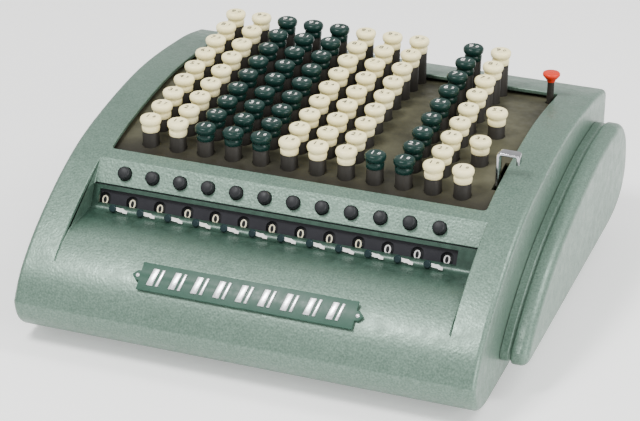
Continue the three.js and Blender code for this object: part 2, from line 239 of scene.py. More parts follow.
def bake_modifiers(obj):
    """Writes what the modifiers make into the mesh, and removes them."""
    bpy.context.view_layer.update()
    graph = bpy.context.evaluated_depsgraph_get()
    baked = bpy.data.meshes.new_from_object(obj.evaluated_get(graph))
    obj.modifiers.clear()
    obj.data = baked


def carve(obj, cutters, operation="DIFFERENCE"):
    """Cuts each cutter out of a piece, or joins it on, and removes the cutter."""
    for cutter in cutters:
        step = obj.modifiers.new("carve", "BOOLEAN")
        step.operation = operation
        step.solver = "MANIFOLD"
        step.object = cutter
        bake_modifiers(obj)
        bpy.data.objects.remove(cutter)


SAME_POINT = 0.02 * MM
SAME_PLANE = math.radians(0.4)


def merge_flat_faces(obj):
    """Clears the triangles that a cut leaves on flat faces, so that edges can be rounded."""
    bm = bmesh.new()
    bm.from_mesh(obj.data)
    bmesh.ops.remove_doubles(bm, verts=bm.verts, dist=SAME_POINT)
    bmesh.ops.dissolve_limit(bm, angle_limit=SAME_PLANE, verts=bm.verts, edges=bm.edges)
    bm.to_mesh(obj.data)
    bm.free()


def round_edges(obj, width, segments=3, angle=35):
    merge_flat_faces(obj)
    step = obj.modifiers.new("round", "BEVEL")
    step.width = width * MM
    step.segments = segments
    step.limit_method = "ANGLE"
    step.angle_limit = math.radians(angle)
    step.use_clamp_overlap = False
    step.harden_normals = False
    bake_modifiers(obj)


def finish_piece(obj, material, body, nodes=(), sharp=40, weighted=False):
    """Shades a piece, gives it its material, and ties it to its body and CAD nodes.

    Edges sharper than the angle sharp, in degrees, stay crisp."""
    obj.data.shade_smooth()
    obj.data.set_sharp_from_angle(angle=math.radians(sharp))
    if weighted:
        step = obj.modifiers.new("even_shading", "WEIGHTED_NORMAL")
        step.keep_sharp = True
        bake_modifiers(obj)
    obj.data.materials.clear()
    obj.data.materials.append(material)
    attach(obj, body)
    if nodes:
        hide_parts(*nodes)
    return obj


def prism_object(name, outline, left, right):
    bm = bmesh.new()
    add_prism(bm, outline, left, right)
    return to_object(name, bm)


def box_object(name, low, high, matrix=Matrix.Identity(4)):
    bm = bmesh.new()
    add_box(bm, low, high, matrix)
    return to_object(name, bm)


def lathe_object(name, profile, segments, matrix):
    bm = bmesh.new()
    add_lathe(bm, profile, segments, matrix)
    return to_object(name, bm)


def rounded_rectangle(low, high, radius, steps=5):
    """Corners run anticlockwise from the lower left."""
    centres = [
        (low[0] + radius, low[1] + radius), (high[0] - radius, low[1] + radius),
        (high[0] - radius, high[1] - radius), (low[0] + radius, high[1] - radius),
    ]
    points = []
    for corner, centre in enumerate(centres):
        for i in range(steps + 1):
            angle = math.pi * (1 + corner / 2 + i / steps / 2)
            points.append((centre[0] + radius * math.cos(angle), centre[1] + radius * math.sin(angle)))
    return points


def flat_prism(bm, outline, low, high, matrix=Matrix.Identity(4)):
    """A closed solid from an outline in XY, between two heights in Z, then placed."""
    rings = [[bm.verts.new(matrix @ Vector((x, y, z))) for x, y in outline] for z in (low, high)]
    bm.faces.new(rings[0][::-1])
    bm.faces.new(rings[1])
    for i in range(len(outline)):
        j = (i + 1) % len(outline)
        bm.faces.new((rings[0][i], rings[0][j], rings[1][j], rings[1][i]))


def upright_prism(name, outline, low, high):
    bm = bmesh.new()
    flat_prism(bm, outline, low, high)
    return to_object(name, bm)


# ---- Materials ----

class Shader:
    """A small builder for procedural materials on one Principled shader."""

    def __init__(self, name, roughness, metallic=0.0, **sockets):
        self.material = bpy.data.materials.new(name)
        self.material.use_nodes = True
        self.tree = self.material.node_tree
        self.main = self.tree.nodes["Principled BSDF"]
        self.main.inputs["Roughness"].default_value = roughness
        self.main.inputs["Metallic"].default_value = metallic
        for socket, value in sockets.items():
            self.main.inputs[socket.replace("_", " ")].default_value = value
        self.place = self.tree.nodes.new("ShaderNodeTexCoord").outputs["Object"]

    def link(self, a, b):
        self.tree.links.new(a, b)

    def noise(self, scale, detail=2.0, stretch=(1, 1, 1)):
        spread = self.tree.nodes.new("ShaderNodeMapping")
        spread.inputs["Scale"].default_value = stretch
        self.link(self.place, spread.inputs["Vector"])
        node = self.tree.nodes.new("ShaderNodeTexNoise")
        node.inputs["Scale"].default_value = scale
        node.inputs["Detail"].default_value = detail
        self.link(spread.outputs["Vector"], node.inputs["Vector"])
        return node.outputs["Fac"]

    def cells(self, scale, smooth=0.6):
        node = self.tree.nodes.new("ShaderNodeTexVoronoi")
        node.feature = "SMOOTH_F1"
        node.inputs["Scale"].default_value = scale
        node.inputs["Smoothness"].default_value = smooth
        self.link(self.place, node.inputs["Vector"])
        return node.outputs["Distance"]

    def ramp(self, value, stops):
        node = self.tree.nodes.new("ShaderNodeValToRGB")
        elements = node.color_ramp.elements
        while len(elements) < len(stops):
            elements.new(0.5)
        for element, (position, color) in zip(elements, stops):
            element.position = position
            element.color = (*color, 1)
        self.link(value, node.inputs["Fac"])
        return node.outputs["Color"]

    def mix(self, factor, a, b, mode="MIX"):
        node = self.tree.nodes.new("ShaderNodeMix")
        node.data_type = "RGBA"
        node.blend_type = mode
        for socket, kind, value in (("Factor", "VALUE", factor), ("A", "RGBA", a), ("B", "RGBA", b)):
            target = next(i for i in node.inputs if i.name == socket and i.type == kind)
            if isinstance(value, (int, float)):
                target.default_value = value
            elif isinstance(value, tuple):
                target.default_value = (*value, 1)
            else:
                self.link(value, target)
        return next(o for o in node.outputs if o.type == "RGBA")

    def between(self, value, low, high, to_low=0.0, to_high=1.0):
        node = self.tree.nodes.new("ShaderNodeMapRange")
        limits = {"From Min": low, "From Max": high, "To Min": to_low, "To Max": to_high}
        for socket, number in limits.items():
            node.inputs[socket].default_value = number
        self.link(value, node.inputs["Value"])
        return node.outputs["Result"]

    def math(self, operation, *values):
        node = self.tree.nodes.new("ShaderNodeMath")
        node.operation = operation
        for socket, value in zip(node.inputs, values):
            if isinstance(value, (int, float)):
                socket.default_value = value
            else:
                self.link(value, socket)
        return node.outputs["Value"]

    def times(self, a, b):
        return self.math("MULTIPLY", a, b)

    def absolute(self, value):
        return self.math("ABSOLUTE", value)

    def offset_x(self):
        return self.math("SUBTRACT", self.axis("X"), CENTRE_X)

    def axis(self, name):
        node = self.tree.nodes.new("ShaderNodeSeparateXYZ")
        self.link(self.place, node.inputs["Vector"])
        return node.outputs[name]

    def color(self, value):
        self.link(value, self.main.inputs["Base Color"])
        return self

    def rough(self, value, low, high):
        self.link(self.between(value, 0.3, 0.7, low, high), self.main.inputs["Roughness"])
        return self

    def bump(self, height, distance, strength=1.0):
        node = self.tree.nodes.new("ShaderNodeBump")
        node.inputs["Distance"].default_value = distance
        node.inputs["Strength"].default_value = strength
        self.link(height, node.inputs["Height"])
        self.link(node.outputs["Normal"], self.main.inputs["Normal"])
        return self


ENAMEL = [(0.3, (0.08, 0.135, 0.102)), (0.5, (0.112, 0.182, 0.14)), (0.7, (0.155, 0.235, 0.188))]
# Dark green of the hollow: partly the hollow's darker paint, partly painted shade under the bar.
TROUGH_PAINT_AND_SHADE_GREEN = [(0.35, (0.02, 0.05, 0.034)), (0.65, (0.035, 0.078, 0.056))]


# Where the hollow's dark green fades in and out, in metres: partly a darker paint, partly painted shade under
# the bar and window.
DARK_SIDE = (0.1284, 0.1287)
DARK_TOP = (0.0817, 0.0819)
DARK_FRONT = (-0.078, -0.056)
DARK_REAR = (-0.034, -0.033)


def inside_trough(shader):
    """1 on the hollow's floor and side walls near the window, 0 on the rest of the case; the dark green there
    is partly a darker paint and partly painted shade cast by the bar.
    """
    front = [FIRST_ROW_Y + y for y in DARK_FRONT]
    rear = [FIRST_ROW_Y + y for y in DARK_REAR]
    wide = shader.between(shader.absolute(shader.offset_x()), *DARK_SIDE, 1, 0)
    low = shader.between(shader.axis("Z"), *DARK_TOP, 1, 0)
    back = shader.between(shader.axis("Y"), *front)
    before_bar = shader.between(shader.axis("Y"), *rear, 1, 0)
    return shader.times(shader.times(wide, low), shader.times(back, before_bar))


def hammered_enamel():
    shader = Shader("hammered_green_enamel", 0.4, metallic=0.4, Coat_Weight=0.25, Coat_Roughness=0.3)
    flecks = shader.ramp(shader.noise(850, 3), ENAMEL)
    patches = shader.ramp(shader.noise(14, 3), [(0.3, (0.86, 0.88, 0.87)), (0.7, (1, 1, 1))])
    open_case = shader.mix(1.0, flecks, patches, "MULTIPLY")
    # Dark green in the hollow near the window: partly darker paint, partly painted shade cast by the bar.
    dark = shader.ramp(shader.noise(200, 3), TROUGH_PAINT_AND_SHADE_GREEN)
    shader.color(shader.mix(inside_trough(shader), open_case, dark))
    shader.rough(shader.noise(160, 2), 0.34, 0.5)
    return shader.bump(shader.cells(620), 0.0003, 0.35).material


def plain(name, dark, light, roughness, metallic=0.0, grain=300, bump=0.00005, **sockets):
    """A moulded or painted surface with fine grain and slight colour variation."""
    shader = Shader(name, roughness, metallic, **sockets)
    fine = shader.noise(grain, 3)
    shader.color(shader.mix(shader.noise(60, 4), dark, light))
    shader.rough(fine, max(roughness - 0.07, 0.03), roughness + 0.08)
    return shader.bump(fine, bump, 0.5).material


# Near-black brown at the plate's front edge: painted shade under the case's rim and between the stems, with
# some grime.
GRIME_AND_SHADE = (0.014, 0.012, 0.008)
GRIME_AND_SHADE_REACH = 12 * MM
OLIVE = [(0.3, (0.028, 0.027, 0.015)), (0.55, (0.062, 0.06, 0.036)), (0.8, (0.1, 0.097, 0.062))]


def worn_olive():
    shader = Shader("worn_olive_enamel", 0.5, Specular_IOR_Level=0.3)
    broad = shader.ramp(shader.noise(35, 5), OLIVE)
    streaks = shader.ramp(shader.noise(90, 4, (1, 0.12, 1)), [(0.35, (0.7, 0.7, 0.68)), (0.65, (1, 1, 1))])
    worn = shader.mix(0.8, broad, streaks, "MULTIPLY")
    # The plate darkens towards its front edge: painted shade under the rim, with some grime.
    front_edge = shader.between(shader.axis("Y"), FIRST_ROW_Y - GRIME_AND_SHADE_REACH, FIRST_ROW_Y + GRIME_AND_SHADE_REACH)
    shader.color(shader.mix(front_edge, GRIME_AND_SHADE, worn))
    shader.rough(shader.noise(200, 3), 0.4, 0.65)
    return shader.bump(shader.noise(500, 3), 0.0001, 0.5).material


def brushed_steel():
    shader = Shader("brushed_steel", 0.35, metallic=1.0)
    lines = shader.noise(500, 3, (0.04, 1, 1))
    shader.color(shader.mix(lines, (0.38, 0.38, 0.39), (0.6, 0.6, 0.61)))
    shader.rough(lines, 0.25, 0.45)
    return shader.bump(lines, 0.00004, 0.4).material


def polished_chrome():
    shader = Shader("polished_chrome", 0.1, metallic=1.0)
    haze = shader.noise(120, 4)
    shader.color(shader.mix(haze, (0.3, 0.305, 0.315), (0.5, 0.5, 0.52)))
    shader.rough(haze, 0.06, 0.2)
    return shader.bump(shader.noise(700, 2), 0.00002, 0.3).material


MATERIALS = {
    "enamel": hammered_enamel(),
    "olive": worn_olive(),
    "steel": brushed_steel(),
    "chrome": polished_chrome(),
    "ivory": plain("ivory_plastic", (0.95, 0.83, 0.4), (1.0, 0.92, 0.56), 0.3, Specular_IOR_Level=0.35),
    "green_key": plain("bottle_green_plastic", (0.004, 0.018, 0.015), (0.008, 0.03, 0.024), 0.27,
                       Specular_IOR_Level=0.2),
    "red": plain("red_plastic", (0.5, 0.02, 0.006), (0.64, 0.035, 0.012), 0.32, Specular_IOR_Level=0.2),
    "stem": plain("dark_brown_stem", (0.012, 0.011, 0.009), (0.03, 0.027, 0.022), 0.55, grain=500,
                  Specular_IOR_Level=0.25),
    "black": plain("black_moulding", (0.007, 0.008, 0.009), (0.015, 0.016, 0.018), 0.5,
                   Specular_IOR_Level=0.25),
    "slate": plain("slate_black_sheet", (0.008, 0.008, 0.011), (0.018, 0.018, 0.023), 0.5, grain=500,
                   Specular_IOR_Level=0.3),
    "pointer_green": plain("dark_pointer_green", (0.004, 0.012, 0.014), (0.008, 0.025, 0.028), 0.35,
                           Specular_IOR_Level=0.3),
    "cream": plain("cream_paint", (0.8, 0.74, 0.5), (0.88, 0.83, 0.62), 0.45),
    "white": plain("white_paint", (0.72, 0.71, 0.68), (0.85, 0.84, 0.81), 0.45),
    "silver": plain("silver_ornament", (0.62, 0.63, 0.64), (0.78, 0.79, 0.8), 0.28, metallic=0.7),
    "ink": plain("black_ink", (0.02, 0.02, 0.02), (0.04, 0.04, 0.035), 0.5),
    "rubber": plain("black_rubber", (0.012, 0.012, 0.012), (0.025, 0.025, 0.025), 0.7, grain=700),
    "nameplate": plain("nameplate_green", (0.022, 0.06, 0.042), (0.04, 0.09, 0.066), 0.4,
                       Specular_IOR_Level=0.3),
}


# ---- Numerals ----

def glyph(text, height, width=1.0):
    """The mesh of one numeral as (points, faces), centred, lying in XY."""
    curve = bpy.data.curves.new("numeral", "FONT")
    curve.body = text
    curve.size = height * 1.4
    curve.align_x = "CENTER"
    curve.align_y = "CENTER"
    curve.extrude = 0.05
    curve.resolution_u = 3
    holder = bpy.data.objects.new("numeral", curve)
    bpy.context.scene.collection.objects.link(holder)
    bpy.context.view_layer.update()
    graph = bpy.context.evaluated_depsgraph_get()
    mesh = bpy.data.meshes.new_from_object(holder.evaluated_get(graph))
    points = [v.co.copy() for v in mesh.vertices]
    faces = [tuple(p.vertices) for p in mesh.polygons]
    middle = Vector([(min(p[k] for p in points) + max(p[k] for p in points)) / 2 for k in (0, 1)] + [0])
    bpy.data.objects.remove(holder)
    return [Vector(((p.x - middle.x) * width, p.y - middle.y, p.z)) for p in points], faces


def stamp(bm, shape, matrix):
    """Adds a numeral from glyph to a mesh."""
    points, faces = shape
    verts = [bm.verts.new(matrix @ p) for p in points]
    for face in faces:
        bm.faces.new([verts[i] for i in face])


# ---- Case ----

SIDE_EDGE_ROUND = 3.2
SHAFT_HOLE_RADIUS = 4.7
BUTTON_HOLE_RADIUS = 4.7


def case_shell():
    outer = bmesh.new()
    add_prism(outer, case_outline(), -HALF_WIDTH, HALF_WIDTH)
    rim = [e for e in outer.edges if abs(e.verts[0].co.x - e.verts[1].co.x) < 0.01]
    bmesh.ops.bevel(outer, geom=rim, offset=SIDE_EDGE_ROUND, segments=4, profile=0.5, affect="EDGES",
                    clamp_overlap=False)
    shell = to_object("case_shell_finished", outer)
    inside = HALF_WIDTH - WALL
    hollow = prism_object("hollow", offset(case_outline(), -WALL), -inside, inside)
    skin = TROUGH_HALF + WALL
    carve(hollow, [prism_object("skin", offset(trough_outline(), WALL), -skin, skin)])
    keyboard = rounded_rectangle((-OPENING_HALF, OPENING_FRONT), (OPENING_HALF, OPENING_REAR), 2.5)
    shaft_low, shaft_high = node_box("clearing_shaft")
    shaft_y, shaft_z = (shaft_low.y + shaft_high.y) / 2, (shaft_low.z + shaft_high.z) / 2
    sideways = Matrix.Translation((inside - 5, shaft_y, shaft_z)) @ Matrix.Rotation(math.pi / 2, 4, "Y")
    shaft_hole = [(0, 0), (SHAFT_HOLE_RADIUS, 0), (SHAFT_HOLE_RADIUS, 12), (0, 12)]
    cutters = [
        hollow,
        prism_object("trough", trough_cut_outline(), -TROUGH_HALF, TROUGH_HALF),
        upright_prism("keyboard", keyboard, 90, 130),
        box_object("underside", (-inside, -83, 0), (inside, REAR - WALL, 10)),
        lathe_object("shaft_hole", shaft_hole, 24, sideways),
    ]
    holes = bmesh.new()
    button_hole = [(0, -14), (BUTTON_HOLE_RADIUS, -14), (BUTTON_HOLE_RADIUS, 14), (0, 14)]
    for i in range(COLUMNS):
        add_lathe(holes, button_hole, 32, button_matrix(i))
    carve(shell, cutters)
    round_edges(shell, 0.9, 3)
    carve(shell, [to_object("button_holes", holes)])
    return finish_piece(shell, MATERIALS["enamel"], "case", ["case_shell"], 30, True)


def button_matrix(index):
    """Puts a turned button on the slanted bar, its axis pointing out of the face."""
    middle = (BAR_BOTTOM + BAR_CREST) / 2
    lean = math.atan2(BAR_CREST.x - BAR_BOTTOM.x, BAR_CREST.y - BAR_BOTTOM.y)
    place = Matrix.Translation((FIRST_BUTTON_X + index * KEY_PITCH, middle.x, middle.y))
    return place @ Matrix.Rotation(math.pi / 2 - lean, 4, "X")


def side_cover():
    """The pod on the right side: a flange against the case and a deeper body with a rounded rim."""
    low, high = node_box("side_cover")
    top = spline([(-64, 31), (-43, 48), (-2, 69), (50, 83), (104, 91), (150, 91)], 30)
    tail = bend((150, 91), (187, 86), (187, 48), 14)[1:] + bend((187, 48), (184, 21), (140, 20), 10)[1:]
    heel = bend((-56, 20), (-66, 20), (-64, 31), 6)[:-1]
    outline = top + tail + heel
    bm = bmesh.new()
    flange = low.x + 5.5
    rings = [(low.x, -1.2), (low.x + 4.6, -1.2), (flange, -1.9), (flange + 0.7, -1.9), (flange + 1.6, -0.4)]
    rings += [(flange + 2.4, 0)]
    crown, crown_steps = 5.5, 8
    for i in range(crown_steps + 1):
        angle = math.pi / 2 * i / crown_steps
        rings.append((high.x - crown * (1 - math.sin(angle)), -crown * (1 - math.cos(angle))))
    loops = []
    for x, inset in rings:
        loops.append([bm.verts.new((x, p.x, p.y)) for p in offset(outline, inset - 0.3)])
    for a, b in zip(loops, loops[1:]):
        for i in range(len(outline)):
            j = (i + 1) % len(outline)
            bm.faces.new((a[i], a[j], b[j], b[i]))
    bm.faces.new(loops[-1])
    bm.faces.new(loops[0][::-1])
    cover = to_object("side_cover_finished", bm)
    hollow = prism_object("cover_hollow", offset(outline, -4.5), low.x - 2, high.x - 3)
    carve(cover, [hollow])
    return finish_piece(cover, MATERIALS["enamel"], "case", ["side_cover"], 28, True)


def base_plate():
    low, high = node_box("base_plate")
    bm = bmesh.new()
    add_box(bm, low, high)
    for x in (low.x + 9, 0, high.x - 9):
        for y in (low.y + 8, high.y - 8):
            head = Matrix.Translation((x, y, low.z + 0.2)) @ Matrix.Rotation(math.pi, 4, "X")
            add_lathe(bm, [(0, 0), (3.6, 0), (3.4, 0.9), (2.2, 1.5), (0, 1.6)], 24, head)
    plate = to_object("base_plate_finished", bm)
    return finish_piece(plate, MATERIALS["steel"], "case", ["base_plate"])


def foot(node):
    low, high = node_box(node)
    middle = (low + high) / 2
    radius, height = (high.x - low.x) / 2, high.z - low.z
    dimple = [(0, 0.4), (radius * 0.45, 0.4), (radius * 0.5, 0)]
    wall = [(radius - 2, 0), (radius - 0.9, 0.4), (radius - 0.6, 1.2), (radius, height - 0.8)]
    profile = dimple + wall + [(radius - 0.3, height), (0, height)]
    obj = lathe_object(node + "_finished", profile, 48, Matrix.Translation((middle.x, middle.y, 0)))
    return finish_piece(obj, MATERIALS["rubber"], "case", [node])


# ---- Nameplate: a plain ornament of raised bars stands where the lettering was ----

NAMEPLATE_HALF, NAMEPLATE_POINT, NAMEPLATE_HALF_HEIGHT = 70, 5, 9.0


def nameplate_matrix():
    low, high = -104, -89.5
    slope = math.atan2(arch_height(high) - arch_height(low), high - low)
    middle = (low + high) / 2
    return Matrix.Translation((0, middle - 0.5, arch_height(middle) + 0.75)) @ Matrix.Rotation(slope, 4, "X")


def nameplate():
    half, point, tall = NAMEPLATE_HALF, NAMEPLATE_POINT, NAMEPLATE_HALF_HEIGHT
    ear_base, ear = 3.2, 2.2
    lower = [(half, -tall), (half, -ear_base), (half + ear, -ear_base)]
    side = lower + [(half + point, 0)] + [(x, -y) for x, y in reversed(lower)]
    outline = side + [(-x, y) for x, y in reversed(side)]
    bm = bmesh.new()
    flat_prism(bm, outline, -0.4, 1.5, nameplate_matrix())
    plate = to_object("nameplate_finished", bm)
    round_edges(plate, 0.35, 2)
    finish_piece(plate, MATERIALS["nameplate"], "case", ["nameplate"])
    bars = bmesh.new()
    lean, high, count, pitch = 2.2, 5.6, 9, 14.6
    for i in range(count):
        x = (i - (count - 1) / 2) * pitch
        for left, right in ((x - 4.6, x - 0.6), (x + 1.2, x + 3.0)):
            foot_end = [(left - lean / 2, -high), (right - lean / 2, -high)]
            head_end = [(right + lean / 2, high), (left + lean / 2, high)]
            flat_prism(bars, foot_end + head_end, 1.3, 2.3, nameplate_matrix())
    ornament = to_object("nameplate_ornament", bars)
    round_edges(ornament, 0.25, 2)
    finish_piece(ornament, MATERIALS["silver"], "case")
    pins = bmesh.new()
    for x in (-half - 1.4, half + 1.4):
        place = nameplate_matrix() @ Matrix.Translation((x, 0, 1.3))
        add_lathe(pins, [(0, 0), (1.3, 0), (1.2, 0.5), (0.7, 0.9), (0, 1)], 20, place)
    return finish_piece(to_object("nameplate_pins", pins), MATERIALS["silver"], "case")


# ---- Register: panel, mask, pointers and wheels ----

def register_panel():
    foot_corner = (WALL_FOOT.x - 0.6, WALL_FOOT.y - 1.3)
    tongue = [(PANEL_FRONT + 0.1, DECK_LEVEL - 0.5), (PANEL_FRONT - 1.4, DECK_LEVEL - 0.5)]
    face = [Vector(p) for p in tongue] + [Vector((PANEL_FRONT - 1.4, DECK_LEVEL + 0.02))]
    face += bend((DECK_FOOT - 1, DECK_LEVEL), foot_corner, WALL_FOOT + WALL_UP * 1.2, 6)
    face += [WALL_HEAD, Vector((BAR_BOTTOM.x - 0.3, BAR_BOTTOM.y - 0.45))]
    back = [face[0] + Vector((0, -SHEET))]
    under_corner = (WALL_FOOT.x + 1.2, WALL_FOOT.y - 3.3)
    back += bend((DECK_FOOT - 0.5, DECK_LEVEL - SHEET), under_corner, WALL_FOOT + WALL_IN * SHEET, 6)
    back += [WALL_HEAD + WALL_IN * SHEET, face[-1] + WALL_IN * SHEET]
    panel = prism_object("register_panel_finished", face + back[::-1], -PANEL_HALF, PANEL_HALF)
    carve(panel, [box_object("window", (-124.2, -50, 70), (114.5, -30, 79))])
    lip = [Vector(p) for p in ((-36.1, 80.9), (-33.5, 80.9), (-33.5, 81.9), (-36.1, 81.9))]
    lip_object = prism_object("register_panel_lip", lip, -PANEL_HALF, PANEL_HALF)
    finish_piece(lip_object, MATERIALS["black"], "case")
    return finish_piece(panel, MATERIALS["enamel"], "case", ["register_panel"], 30, True)


def wheel_x(index):
    return FIRST_WHEEL_X + index * KEY_PITCH


def numeral_mask():
    low, high = node_box("numeral_mask")
    slab = [on_wall(-1.2, 2.4), on_wall(12.4, 2.4), on_wall(12.4, 3.6), on_wall(-1.2, 3.6)]
    mask = prism_object("numeral_mask_finished", slab, low.x, high.x)
    holes = bmesh.new()
    middle = on_wall(4.9, 0)
    for i in range(WHEEL_COUNT):
        place = Matrix.Translation((wheel_x(i) - 0.7, middle.x, middle.y)) @ WALL_FRAME
        flat_prism(holes, rounded_rectangle((-4.1, -4.3), (4.1, 4.3), 3.7, 6), -6, 2, place)
    carve(mask, [to_object("mask_holes", holes)])
    return finish_piece(mask, MATERIALS["slate"], "case", ["numeral_mask"])


POINTER_ARM = [
    (2, -0.9), (4.6, -1.4), (6.4, -1.3), (7.2, -1.9), (9.8, -2.0), (9.9, -0.4), (8.2, 0), (6.8, 0.9),
    (4.8, 0.8), (2, 1.2),
]


def decimal_pointers():
    """One rail, twelve knobs and twelve arms that point right, to the next numeral."""
    low, high = node_box("decimal_pointer_rail")
    rail = bmesh.new()
    add_box(rail, (low.x, low.y + 0.2, DECK_LEVEL - 0.5), (high.x, high.y, DECK_LEVEL + 0.25))
    finish_piece(to_object("pointer_rail", rail), MATERIALS["enamel"], "case",
                 ["decimal_pointer_rail"])
    knobs, arms = bmesh.new(), bmesh.new()
    lean = Matrix.Rotation(math.radians(68), 4, "X")
    for i in range(COLUMNS):
        x = wheel_x(i) + 8.4
        place = Matrix.Translation((x, -45.2, DECK_LEVEL + 2.7)) @ lean
        add_lathe(knobs, [(0, -0.6), (2.2, -0.6), (2.5, 0.2), (2.5, 1.3), (2.0, 1.9), (0, 2.2)], 24, place)
        flat_prism(arms, POINTER_ARM, 0.2, 0.9, place)
    finish_piece(to_object("pointer_knobs", knobs), MATERIALS["pointer_green"], "case")
    return finish_piece(to_object("pointer_arms", arms), MATERIALS["white"], "case")


CREAM_WHEELS = 10


def numeral_wheel(index, digits):
    node = f"numeral_wheel_{index + 1}"
    low, high = node_box(node)
    centre = (low + high) / 2
    radius, half = (high.z - low.z) / 2, (high.x - low.x) / 2
    place = Matrix.Translation(centre) @ Matrix.Rotation(math.pi / 2, 4, "Y")
    rim = radius - 0.35
    left = [
        (WHEEL_BORE, -half), (rim - 2.5, -half), (rim - 2, -half + 0.6), (rim - 0.5, -half + 0.6),
        (rim, -half + 1),
    ]
    profile = left + [(x, -y) for x, y in reversed(left)] + left[:1]
    bm = bmesh.new()
    add_lathe(bm, profile, 60, place)
    bmesh.ops.remove_doubles(bm, verts=bm.verts, dist=0.001)
    finish_piece(to_object(node + "_finished", bm), MATERIALS["black"], node, [node])
    marks = bmesh.new()
    for digit in range(10):
        turn = Matrix.Rotation(math.tau * digit / 10, 4, "X")
        face = Matrix.Translation(centre) @ turn @ WALL_FRAME @ Matrix.Translation((-1.3, -1.3, rim))
        stamp(marks, digits[digit], face)
    paint = "cream" if index < CREAM_WHEELS else "white"
    return finish_piece(to_object(node + "_numerals", marks), MATERIALS[paint], node)


def cut_off_button(index):
    node = f"cut_off_button_{index + 1}"
    profile = [(0, -4.4), (4.1, -4.4), (4.2, -4), (4.2, 0.6), (4.2, 3.0), (3.8, 4.0), (2.6, 4.6), (0, 4.75)]
    button = lathe_object(node + "_finished", profile, 40, button_matrix(index))
    return finish_piece(button, MATERIALS["black"], node, [node], 50)


# ---- Keyboard ----

def column_x(column):
    return (column - (COLUMNS + 1) / 2) * KEY_PITCH


def row_y(row):
    return (row - 1) * ROW_PITCH


def cap_height(row):
    """The middle of a cap. It is 0.7 mm below the CAD model's, where the first row's is at 115."""
    return 114.3 + 1.72 * (row - 1) + 0.07 * (row - 1) ** 2


ALL_ROWS = range(1, ROWS + 1)
KEYBOARD = {f"key_column_{c}": (c, ALL_ROWS) for c in (1, 2, 3, 4, 5, 6, 7, 8, 10, 11)}
KEYBOARD["key_9_row_1"] = (9, [1])
KEYBOARD.update({f"key_12_row_{r}": (12, [r]) for r in (1, 3, 5)})
GREEN_COLUMNS = (3, 4, 5, 9, 10)

CAP_PROFILE = [
    (0, -7.4), (5.5, -7.4), (5.7, -7.1), (5.85, -5.4), (5.8, -4.0), (5.4, -3.5), (5.35, -3.1), (5.8, -2.7),
    (6.5, -1.9), (6.85, -0.8), (6.95, 0.2), (6.8, 1.0), (6.4, 1.8), (5.7, 2.3), (4.9, 2.5), (3.4, 2.35),
    (1.7, 2.25), (0, 2.2),
]


def keys(node, digits, small_digits):
    column, rows = KEYBOARD[node]
    green = column in GREEN_COLUMNS
    caps, stems, legends = bmesh.new(), bmesh.new(), bmesh.new()
    for row in rows:
        x, y, z = column_x(column), row_y(row), cap_height(row)
        place = Matrix.Translation((x, y, z))
        add_lathe(caps, CAP_PROFILE, 36, place)
        under = arch_height(y) - z - 12
        stem = [(0, under), (STEM_RADIUS, under), (STEM_RADIUS, -7.8), (STEM_RADIUS - 0.4, -7.2), (0, -7.2)]
        add_lathe(stems, stem, 24, place)
        stamp(legends, digits[row], place @ Matrix.Translation((-1.9, 0.3, 2.38)))
        stamp(legends, small_digits[9 - row], place @ Matrix.Translation((2.4, 0.3, 2.36)))
    add_column_bar(stems, column, rows)
    cap_material, ink = ("green_key", "white") if green else ("ivory", "ink")
    finish_piece(to_object(node + "_caps", caps), MATERIALS[cap_material], node, [node], 60)
    finish_piece(to_object(node + "_stems", stems), MATERIALS["stem"], node)
    return finish_piece(to_object(node + "_numerals", legends), MATERIALS[ink], node)


def add_column_bar(bm, column, rows):
    """The lever bar under the plate that a column's stems stand on."""
    ys = [row_y(row) for row in rows]
    ends = [ys[0] - 4] + ys[1:-1] + [ys[-1] + 4]
    top = [(y, arch_height(y) - 7.6) for y in ends]
    under = [(y, arch_height(y) - 13.6) for y in reversed(ends)]
    add_prism(bm, top + under, column_x(column) - 4, column_x(column) + 4)


def plate_hole(radius):
    return [(0, PLATE_CUT_LOW), (radius, PLATE_CUT_LOW), (radius, PLATE_CUT_HIGH), (0, PLATE_CUT_HIGH)]


def keyboard_plate():
    low, high = node_box("keyboard_plate")
    ys = [low.y + (high.y - low.y) * i / 36 for i in range(37)]
    top = [(y, arch_height(y) - PLATE_BELOW) for y in ys]
    under = [(y, arch_height(y) - PLATE_BELOW - SHEET) for y in reversed(ys)]
    plate = prism_object("keyboard_plate_finished", top + under, low.x, high.x)
    holes = bmesh.new()
    for column, rows in KEYBOARD.values():
        for row in rows:
            place = Matrix.Translation((column_x(column), row_y(row), 0))
            add_lathe(holes, plate_hole(STEM_RADIUS + 0.35), 24, place)
    red_place = Matrix.Translation((FROM_FRAME @ box_centre("release_key")).to_2d().to_3d())
    add_lathe(holes, plate_hole(3.2), 24, red_place)
    slot_left = node_box("clearing_lever")[0].x - 1.1
    slot = box_object("lever_slot", (slot_left, LEVER_SLOT_FRONT, PLATE_CUT_LOW),
                      (OPENING_HALF - 0.2, LEVER_SLOT_REAR, PLATE_CUT_HIGH))
    carve(plate, [to_object("stem_holes", holes), slot])
    return finish_piece(plate, MATERIALS["olive"], "case", ["keyboard_plate"], 30)


def release_key():
    low, high = node_box("release_key")
    middle = (low + high) / 2
    place = Matrix.Translation((middle.x, middle.y, high.z))
    head = [
        (0, -6.6), (2.7, -6.6), (3.0, -5.6), (3.9, -4.4), (5.0, -3.1), (5.7, -2.2), (5.85, -1.2), (5.5, -0.4),
        (4.6, -0.1), (0, -0.05),
    ]
    bottom = low.z - high.z
    stem = [(0, bottom), (2.3, bottom), (2.3, -6.2), (0, -6.2)]
    cap = lathe_object("release_key_head", head, 40, place)
    finish_piece(cap, MATERIALS["red"], "release_key", ["release_key"], 60)
    shank = lathe_object("release_key_stem", stem, 32, place)
    return finish_piece(shank, MATERIALS["stem"], "release_key")


